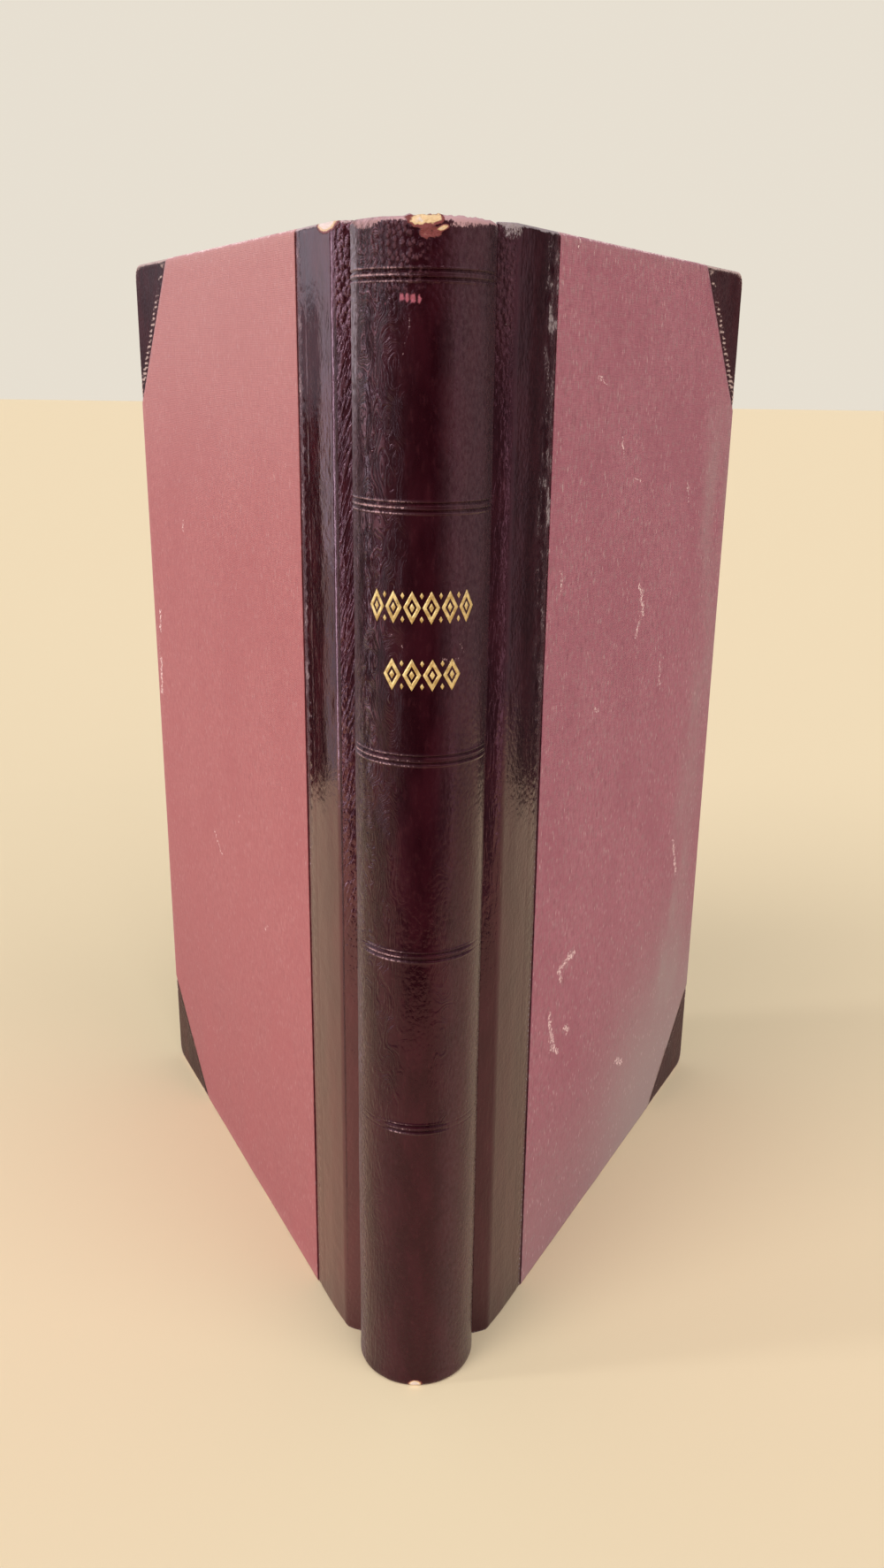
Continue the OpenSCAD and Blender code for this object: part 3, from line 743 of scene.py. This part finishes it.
def joint_skin(side):
    outer, inner, along = joint_path()
    rows = spread([(1.2, COVER_H - 1.2, 0.66)])
    span = np.hypot(*(inner - outer).T)
    bend = np.radians(np.linspace(0, 90, 6))[1:]
    head = [("round", a) for a in bend] + [("flat", k) for k in (0.35, 0.65)]
    head += [("back", a) for a in bend] + [("down", k) for k in (4, 10, TURN_IN)]
    radius = np.clip(0.26 * span, 0.3, 1.2)
    middle = COVER_H / 2

    def end_part(kind, k):
        if kind == "round":
            return radius * (1 - math.cos(k)), COVER_H - radius + radius * math.sin(k)
        if kind == "flat":
            return radius + (span - 2 * radius) * k, COVER_H + 0 * span
        if kind == "back":
            return span - radius + radius * math.sin(k), COVER_H - radius + radius * math.cos(k)
        return span, COVER_H - k + 0 * span

    ends = [end_part(*e) for e in head]
    depth = [d for d, z in reversed(ends)] + [0 * span for _ in rows] + [d for d, z in ends]
    zs = [COVER_H - z for d, z in reversed(ends)] + [
        z + 0 * span + np.where(z > middle, 1, -1) * (1.2 - radius) * rise(abs(z - middle), 160, 167)
        for z in rows
    ] + [z for d, z in ends]
    depth, zs = np.stack(depth), np.stack(zs)
    u = along[None, :] + 0 * zs
    flat_z = zs + np.where(zs > middle, 1, -1) * depth
    on_face = 1 - rise(depth, 0.1, 1.0)
    sunk = 0.11 * scallop(u, zs) * rise(STRIP_X - u, -0.3, 0.2)
    sunk += 0.03 * hump(u, 21.5, 0.5)
    lift = 0.06 * cloud(u / 9, zs / 25, 2) + 0.05 * cloud(u / 3, zs / 4, 8) - sunk
    lift = lift * on_face * rise(u, along[0] + 0.3, along[0] + 2.2)
    lift = lift - 0.45 * on_face * (1 - rise(u, 2.5, 15)) * rise(u, 1.0, 5.0)
    ux, uy = ((inner - outer) / span[:, None]).T
    x = outer[:, 0] + ux * (depth - lift)
    y = outer[:, 1] + uy * (depth - lift)
    points = on_cover(x, y, zs, side).reshape(-1, 3)
    flats = np.stack([u, flat_z, 0 * u], -1).reshape(-1, 3)
    marks = strip_marks(flats[:, 0], flats[:, 1], side)
    marks["flat"] = flats
    obj = piece(f"{side}_joint_skin", points, grid_faces(*zs.shape), MATERIALS[f"{side}_joint"],
                f"{side}_cover", [f"{side}_leather_joint"], marks,
                flip=side == "back")
    thicken(obj, LEATHER_SKIN)


def quarter(x0, z0, step, lift):
    """The head quarter of a cover's skin beyond x0 and above z0, as points (x, y, z), flat
    places and faces: a grid over the face, then the rounded rim and the turned-in edge."""
    face = FACE_Y - lift
    big, small = 1.3, 0.7
    bend = np.radians(np.linspace(0, 90, 7))
    rim = [(CORNER_R, face), (3.4, face), (2.2, face)]
    rim += [(big * (1 - math.sin(a)), face + big * (1 - math.cos(a))) for a in bend]
    rim += [(0, y) for y in np.linspace(face + big, INSIDE_Y - small, 4)[1:-1]]
    rim += [(small * (1 - math.cos(a)), INSIDE_Y - small * (1 - math.sin(a))) for a in bend]
    rim += [(e, INSIDE_Y) for e in (3, 7, 11, TURN_IN)]
    nx = max(2, round((COVER_W - CORNER_R - x0) / step)) + 1
    nz = max(2, round((COVER_H - CORNER_R - z0) / step)) + 1
    gx, gz = np.linspace(x0, COVER_W - CORNER_R, nx), np.linspace(z0, COVER_H - CORNER_R, nz)
    points = [np.array([[x, face, z] for z in gz for x in gx])]
    flats = [points[0][:, [0, 2, 1]] * (1, 1, 0)]
    faces = grid_faces(nz, nx).tolist()
    turn = np.radians(np.linspace(90, 0, 9))[1:-1]
    last = [(nz - 1) * nx + i for i in range(nx)] + [nz * nx - 1] * len(turn)
    last += [j * nx + nx - 1 for j in range(nz - 1, -1, -1)]
    start, gone = nx * nz, 0.0
    for k in range(1, len(rim)):
        (e0, y0), (e, y) = rim[k - 1], rim[k]
        gone += math.hypot(e - e0, y - y0)
        inset, r = max(e, CORNER_R), max(CORNER_R - e, 0)
        hx, hz = COVER_W - inset, COVER_H - inset
        head = [(x0 + (hx - x0) * t, COVER_H - e) for t in np.linspace(0, 1, nx)]
        arc = [(hx + r * math.cos(a), hz + r * math.sin(a)) for a in turn]
        fore = [(COVER_W - e, z0 + (hz - z0) * t) for t in np.linspace(1, 0, nz)]
        ring = np.array(head + arc + fore)
        points.append(np.stack([ring[:, 0], y + 0 * ring[:, 0], ring[:, 1]], -1))
        base = np.array([(p[0], COVER_H - CORNER_R) for p in head]
                        + [(COVER_W - CORNER_R, COVER_H - CORNER_R)] * len(turn)
                        + [(COVER_W - CORNER_R, p[1]) for p in fore])
        away = np.array([(0, 1)] * nx + [(math.cos(a), math.sin(a)) for a in turn] + [(1, 0)] * nz)
        flats.append(np.column_stack([base + away * gone, np.zeros(len(base))]))
        now = list(range(start, start + len(ring)))
        start += len(ring)
        for a, b, c, d in zip(last[:-1], last[1:], now[1:], now[:-1]):
            faces.append([a, b, c, d] if a != b else [a, c, d])
        last = now
    return np.concatenate(points), np.concatenate(flats), faces


def arris(y):
    """1 along a cover's outer arris, a half along its inner one."""
    return hump(y, FACE_Y + 0.35, 0.75) + 0.5 * hump(y, INSIDE_Y - 0.3, 0.6)


def at_tail(points, flats):
    """The places of a skin, moved from the head of its cover to the tail."""
    return points * (1, 1, -1) + (0, 0, COVER_H), flats * (1, -1, 1) + (0, COVER_H, 0)


def beyond_corner(x, up, leg):
    """How far a place lies on the cloth's side of a corner's slanted edge, in mm, where up
    is its distance from the cover's end."""
    return ((COVER_W - x) / CORNER_LEG + up / leg - 1) / math.hypot(1 / CORNER_LEG, 1 / leg)


def cut(name, points, flats, faces, side, material, replaces, marks, planes):
    """A skin in cover places, cut by planes (point, normal): what lies beyond each goes."""
    work = bmesh.new()
    keys = {k: work.verts.layers.float.new(k) for k in marks}
    flat_key = work.verts.layers.float_vector.new("flat")
    verts = [work.verts.new(p) for p in points]
    for i, v in enumerate(verts):
        v[flat_key] = flats[i]
        for k, layer in keys.items():
            v[layer] = float(marks[k][i])
    for f in faces:
        work.faces.new([verts[i] for i in f])
    bmesh.ops.remove_doubles(work, verts=work.verts, dist=1e-4)
    for co, no in planes:
        geometry = work.verts[:] + work.edges[:] + work.faces[:]
        bmesh.ops.bisect_plane(work, geom=geometry, dist=1e-5, plane_co=co, plane_no=no,
                               clear_outer=True)
    work.verts.index_update()
    local = np.array([v.co for v in work.verts])
    kept = {k: [v[layer] for v in work.verts] for k, layer in keys.items()}
    kept["flat"] = np.array([v[flat_key] for v in work.verts])
    loops = [[v.index for v in f.verts] for f in work.faces]
    work.free()
    placed = on_cover(local[:, 0], local[:, 1], local[:, 2], side)
    return piece(name, placed, loops, material, f"{side}_cover", replaces, kept,
                 flip=side == "back")


def corner_plane(head, offset):
    """The slanted plane of a corner, moved by offset towards the cloth; its normal points
    to the cloth."""
    leg = HEAD_LEG if head else TAIL_LEG
    normal = Vector((-1 / CORNER_LEG, 0, (-1 if head else 1) / leg)).normalized()
    at = Vector((COVER_W - CORNER_LEG, 0, COVER_H if head else 0)) + normal * offset
    return at, normal


def cloth_skin(side):
    points, flats, faces = quarter(STRIP_X - 2, COVER_H / 2, 2.6, 0.25)
    n = len(points)
    tail, tail_flats = at_tail(points, flats)
    points, flats = np.concatenate([points, tail]), np.concatenate([flats, tail_flats])
    faces = faces + [[i + n for i in reversed(f)] for f in faces]
    u, z = flats[:, 0], flats[:, 1]
    waves = 0.07 * cloud(u / 45, z / 60, 10) + 0.03 * cloud(u / 12, z / 14, 11)
    points[:, 1] -= np.where(points[:, 1] > -1, 0, waves)
    rim = np.minimum(np.minimum(COVER_W - points[:, 0], COVER_H - points[:, 2]), points[:, 2])
    worn_line = arris(points[:, 1])
    rub = hump(rim, 0.3, 1.1) * (0.14 + 0.54 * worn_line + 0.25 * cloud(u / 5, z / 5, 2))
    dust_and_sheen = 0.25 * rise(-rim, -7, 0) * (0.4 + 0.6 * worn_line)
    if side == "front":
        dust_and_sheen = dust_and_sheen + 0.75 * rise(-z, -120, -20) * rise(u, 60, 150) + 0.45 * rise(-z, -80, 0)
        haze = 0.6 + 0.8 * cloud(u / 9, z / 22, 6, 4)
        dust_and_sheen = dust_and_sheen + 0.5 * haze * stroke(u, z, [(186, 280), (186, 205), (178, 120), (168, 60)], 24)
        # Painted shade towards the cloth's foot.
        shade = 0.32 * rise(-z, -120, -10)
    else:
        # Painted light: the back cloth paler towards its head.
        dust_and_sheen = dust_and_sheen + 0.4 * rise(z, 235, 335)
        # Painted shade towards the cloth's foot.
        shade = 0.08 + 0.30 * rise(-z, -170, 0)
        rub = rub + 0.5 * hump(u, 195, 4) * hump(z, 186, 26)
    marks = {"rub": rub, "dust_and_sheen": dust_and_sheen, "shade": shade}
    planes = [((STRIP_X, 0, 0), (-1, 0, 0))]
    planes += [(at, -normal) for at, normal in (corner_plane(True, 0), corner_plane(False, 0))]
    obj = cut(f"{side}_cloth_skin", points, flats, faces, side, MATERIALS[f"{side}_cloth"],
              [f"{side}_cloth_side"], marks, planes)
    thicken(obj, CLOTH_SKIN)


def corner_skin(side, head):
    end = "head" if head else "tail"
    leg = HEAD_LEG if head else TAIL_LEG
    points, flats, faces = quarter(COVER_W - CORNER_LEG - 5, COVER_H - leg - 5, 0.75, 0)
    u, z = flats[:, 0].copy(), flats[:, 1].copy()
    away, lean = beyond_corner(u, COVER_H - z, leg), math.atan2(CORNER_LEG, leg)
    along = (COVER_W - u) * math.sin(lean) - (COVER_H - z) * math.cos(lean)
    t = (along - 1.1 * away) / 2.6
    t = t - np.floor(t)
    dash = hump(away, -3.4, 2.4) * rise(np.abs(t - 0.5), 0.14, 0.40)
    seen = points[:, 1] < -3.5
    worn_corner = hump(np.hypot(points[:, 0] - COVER_W, points[:, 2] - COVER_H), 0, 5)
    points[:, 1] -= np.where(seen, 0.16 * dash - 0.1 * hump(away, -1.6, 0.4)
                             - 0.08 * hump(away, -5.6, 0.4) + 0.05 * cloud(u / 6, z / 6, 12), 0)
    rim = np.minimum(COVER_W - points[:, 0], COVER_H - points[:, 2])
    worn_line = arris(points[:, 1])
    broken = np.clip(0.75 + cloud(u / 2.2, z / 2.2, 9), 0, 1) * (1.05 if head else 0.5)
    marks = {
        "rub": 1.25 * broken * dash + 1.1 * worn_corner * worn_line
        + hump(rim, 0.3, 1.2) * (0.15 + 0.8 * worn_line)
        + 0.25 * np.clip(cloud(u / 8, z / 8, 3), 0, 1),
        "torn": 0.75 * worn_corner * (points[:, 1] < -1),
        "dust_and_sheen": (0.16 if side == "back" else 0.5) + 0.3 * cloud(u / 10, z / 14, 6),
        "wrinkle": 0.25 + 0 * u,
        "pebble": 0.6 + 0 * u,
        "pink": 0 * u,
        "slant": 0 * u,
    }
    if not head:
        points, flats = at_tail(points, flats)
        faces = [list(reversed(f)) for f in faces]
    at, normal = corner_plane(head, OVERLAP)
    obj = cut(f"{side}_{end}_corner_skin", points, flats, faces, side, MATERIALS["corner"],
              [f"{side}_{end}_corner"], marks, [(at, normal)])
    thicken(obj, LEATHER_SKIN)


# The pages: thin gatherings whose ends aren't quite even.


def leaves():
    rng = np.random.default_rng(7)
    back_r = (BACK_X**2 + ROUND_DEPTH**2) / (2 * ROUND_DEPTH)
    fore_r = ((PAGES_T / 2) ** 2 + ROUND_DEPTH**2) / (2 * ROUND_DEPTH)
    fore_y = BLOCK_Y - ROUND_DEPTH

    def back(x):
        if abs(x) <= BACK_X:
            return BACK_Y + back_r - math.sqrt(back_r**2 - x * x)
        return -1 + 4 * (abs(x) - BACK_X) / (PAGES_T / 2 - BACK_X)

    def fore(x):
        return fore_y + fore_r - math.sqrt(fore_r**2 - x * x)

    edges = np.concatenate([np.linspace(-PAGES_T / 2, -BACK_X, 10),
                            np.linspace(-BACK_X, BACK_X, 93)[1:],
                            np.linspace(BACK_X, PAGES_T / 2, 10)[1:]])
    points, faces = [], []
    for a, b in zip(edges[:-1], edges[1:]):
        b -= 0.03
        inset, top, foot = rng.uniform(0, 0.16), rng.uniform(0, 0.14), rng.uniform(0, 0.14)
        if abs(a + b) / 2 < BACK_X:
            ya, yb = back(a), back(b)
        else:
            ya, yb = (max(back(k * 0.999), back(math.copysign(BACK_X + 0.001, k))) for k in (a, b))
        ring = [(a, ya + 0.05), (b, yb + 0.05), (b, fore(b) - inset), (a, fore(a) - inset)]
        start = len(points)
        for z in (COVER_PAST + foot, COVER_PAST + PAGE_H - top):
            points += [(x, y - FOOT_Y, z) for x, y in ring]
        faces += [[start + k for k in f] for f in (
            (3, 2, 1, 0), (4, 5, 6, 7), (0, 1, 5, 4), (1, 2, 6, 5), (2, 3, 7, 6), (3, 0, 4, 7))]
    obj = piece("page_leaves", points, faces, MATERIALS["pages"], "book_block",
                ["text_block"])
    obj.data.polygons.foreach_set("use_smooth", [False] * len(obj.data.polygons))


# Building it all.

spine_skin()
ornament()
for side in ("front", "back"):
    joint_skin(side)
    cloth_skin(side)
    corner_skin(side, True)
    corner_skin(side, False)
leaves()

KEPT = {
    "tape": ["sewing_tapes"],
    "lining": ["spine_linings"],
    "spring": ["spring_back"],
    "headband": ["head_band", "tail_band"],
    "joint_cloth": ["front_cloth_joint", "back_cloth_joint"],
}
for key in ("flyleaf", "board", "lever", "pastedown"):
    KEPT[key] = [f"front_{key}", f"back_{key}"]
for key, names in KEPT.items():
    for name in names:
        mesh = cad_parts[name].data
        mesh.materials.clear()
        mesh.materials.append(MATERIALS[key])


# The stage: floor, world, lamps, cards and camera.


def flat_colour(name, colour, strength=None):
    mat = bpy.data.materials.new(name)
    mat.use_nodes = True
    tree = mat.node_tree
    if strength is None:
        shader = tree.nodes["Principled BSDF"]
        shader.inputs["Base Color"].default_value = (*colour, 1)
        shader.inputs["Roughness"].default_value = 0.9
        shader.inputs["Specular IOR Level"].default_value = 0.1
        return mat
    tree.nodes.clear()
    out, glow = tree.nodes.new("ShaderNodeOutputMaterial"), tree.nodes.new("ShaderNodeEmission")
    glow.inputs[0].default_value, glow.inputs[1].default_value = (*colour, 1), strength
    tree.links.new(glow.outputs[0], out.inputs[0])
    return mat


def board(name, corners, material):
    mesh = bpy.data.meshes.new(name)
    mesh.from_pydata([tuple(c) for c in corners], [], [(0, 1, 2, 3)])
    mesh.materials.append(material)
    obj = added(name, mesh)
    return obj


def card(name, azimuth, distance, width, low, high, colour, strength):
    """A studio card that only gloss sees. Azimuth 0 stands in front, 90 to the right."""
    a = math.radians(azimuth)
    middle = Vector((math.sin(a), -math.cos(a), 0)) * distance
    across = Vector((math.cos(a), math.sin(a), 0)) * width / 2
    corners = [middle + across * way + Vector((0, 0, z))
               for way, z in ((-1, low), (1, low), (1, high), (-1, high))]
    obj = board(name, corners, flat_colour(name, colour, strength))
    obj.visible_camera = obj.visible_diffuse = obj.visible_shadow = False
    obj.visible_transmission = obj.visible_volume_scatter = False


FLOOR = (0.81, 0.66, 0.445)
BACKGROUND = (0.80, 0.74, 0.64)
board("floor", [(-9, -9, 0), (9, -9, 0), (9, 9, 0), (-9, 9, 0)], flat_colour("floor", FLOOR))

# Azimuth, distance, width, low and high edge, colour and strength of each card.
DIM, COOL, LILAC = (0.5, 0.5, 0.55), (0.84, 0.90, 1.0), (0.95, 0.76, 0.86)
CARDS = [
    (180, 0.42, 0.8, 0, 1.1, DIM, 0.04), (204, 0.54, 0.40, 0, 0.24, COOL, 0.45),
    (204, 0.54, 0.40, 0.24, 0.30, COOL, 0.95),
    (204, 0.54, 0.40, 0.30, 1.1, COOL, 2.2),
    (232, 0.52, 0.18, 0, 0.27, DIM, 0.02),
    (232, 0.52, 0.18, 0.27, 0.34, COOL, 0.22), (236, 0.52, 0.11, 0.34, 1.1, COOL, 0.8),
    (227, 0.53, 0.06, 0.34, 1.1, COOL, 0.25),
    (249, 0.56, 0.12, 0, 0.17, COOL, 0.5),
    (249, 0.56, 0.12, 0.17, 0.40, COOL, 1.1), (249, 0.56, 0.12, 0.40, 1.1, COOL, 2.4),
    (272, 0.62, 0.09, 0, 1.1, COOL, 4.6), (272, 0.70, 0.44, 0, 1.1, COOL, 0.22),
    (299, 0.62, 0.06, 0, 1.1, COOL, 2.6), (306, 0.70, 0.44, 0, 0.40, COOL, 0.12),
    (306, 0.70, 0.44, 0.40, 1.1, COOL, 1.2), (332, 0.42, 0.18, 0, 1.1, LILAC, 0.12),
    (0, 0.37, 0.26, 0, 1.1, DIM, 0.02), (30, 0.42, 0.20, 0, 1.1, LILAC, 0.16),
    (52, 0.58, 0.05, 0, 1.1, LILAC, 1.8), (52, 0.64, 0.32, 0, 1.1, LILAC, 0.2),
    (80, 0.70, 0.44, 0, 1.1, LILAC, 0.42), (108, 0.70, 0.4, 0, 1.1, LILAC, 0.3),
    (134, 0.50, 0.4, 0, 1.1, DIM, 0.05),
]
for number, settings in enumerate(CARDS):
    card(f"card_{number}", *settings)

world = bpy.data.worlds.new("studio")
bpy.context.scene.world = world
world.use_nodes = True
tree = world.node_tree
tree.nodes.clear()
out, mix, path, seen, lit, either, all_three = (
    tree.nodes.new("ShaderNode" + kind)
    for kind in ("OutputWorld", "MixShader", "LightPath", "Background", "Background", "Math", "Math")
)
seen.inputs[0].default_value, seen.inputs[1].default_value = (*BACKGROUND, 1), 1
lit.inputs[0].default_value, lit.inputs[1].default_value = (0.95, 0.97, 1, 1), 0.45
either.operation = all_three.operation = "MAXIMUM"
for source, target in (
    (path.outputs["Is Camera Ray"], either.inputs[0]),
    (path.outputs["Is Glossy Ray"], either.inputs[1]),
    (either.outputs[0], all_three.inputs[0]),
    (path.outputs["Is Transmission Ray"], all_three.inputs[1]),
    (all_three.outputs[0], mix.inputs[0]),
    (lit.outputs[0], mix.inputs[1]),
    (seen.outputs[0], mix.inputs[2]),
    (mix.outputs[0], out.inputs[0]),
):
    tree.links.new(source, target)


def sun(name, towards, strength, spread_deg, colour):
    lamp = bpy.data.lights.new(name, "SUN")
    lamp.energy, lamp.angle, lamp.color = strength, math.radians(spread_deg), colour
    obj = added(name, lamp)
    obj.rotation_mode = "QUATERNION"
    obj.rotation_quaternion = Vector(towards).to_track_quat("Z", "Y")


sun("key", (-0.55, -0.55, 0.70), 1.3, 30, (1.0, 0.98, 0.95))
sun("fill", (0.45, -0.62, 0.70), 1.45, 60, (1.0, 0.97, 0.95))
sun("low_window", (-0.92, -0.14, 0.30), 0.8, 6, (0.95, 0.97, 1.0))

# The camera's place in mm and its turn in degrees, as fitted to the covers' corners.
EYE, LENS, SENSOR = (10.09, -428.12, 303.58), 29.32, 36
PITCH, YAW, ROLL = (math.radians(a) for a in (18.37, 0.69, 0.73))
ahead = Vector((-math.sin(YAW) * math.cos(PITCH), math.cos(YAW) * math.cos(PITCH), -math.sin(PITCH)))
level = Vector((math.cos(YAW), math.sin(YAW), 0))
rising = level.cross(ahead)
right = level * math.cos(ROLL) + rising * math.sin(ROLL)
up = rising * math.cos(ROLL) - level * math.sin(ROLL)
camera = bpy.data.cameras.new("camera")
camera.lens, camera.sensor_width, camera.clip_start, camera.clip_end = LENS, SENSOR, 0.01, 50
shot = added("camera", camera)
turned = Matrix((right, up, -ahead)).transposed().to_4x4()
shot.matrix_world = Matrix.Translation(Vector(EYE) * MM) @ turned
bpy.context.scene.camera = shot
bpy.context.scene.view_settings.view_transform = "Standard"
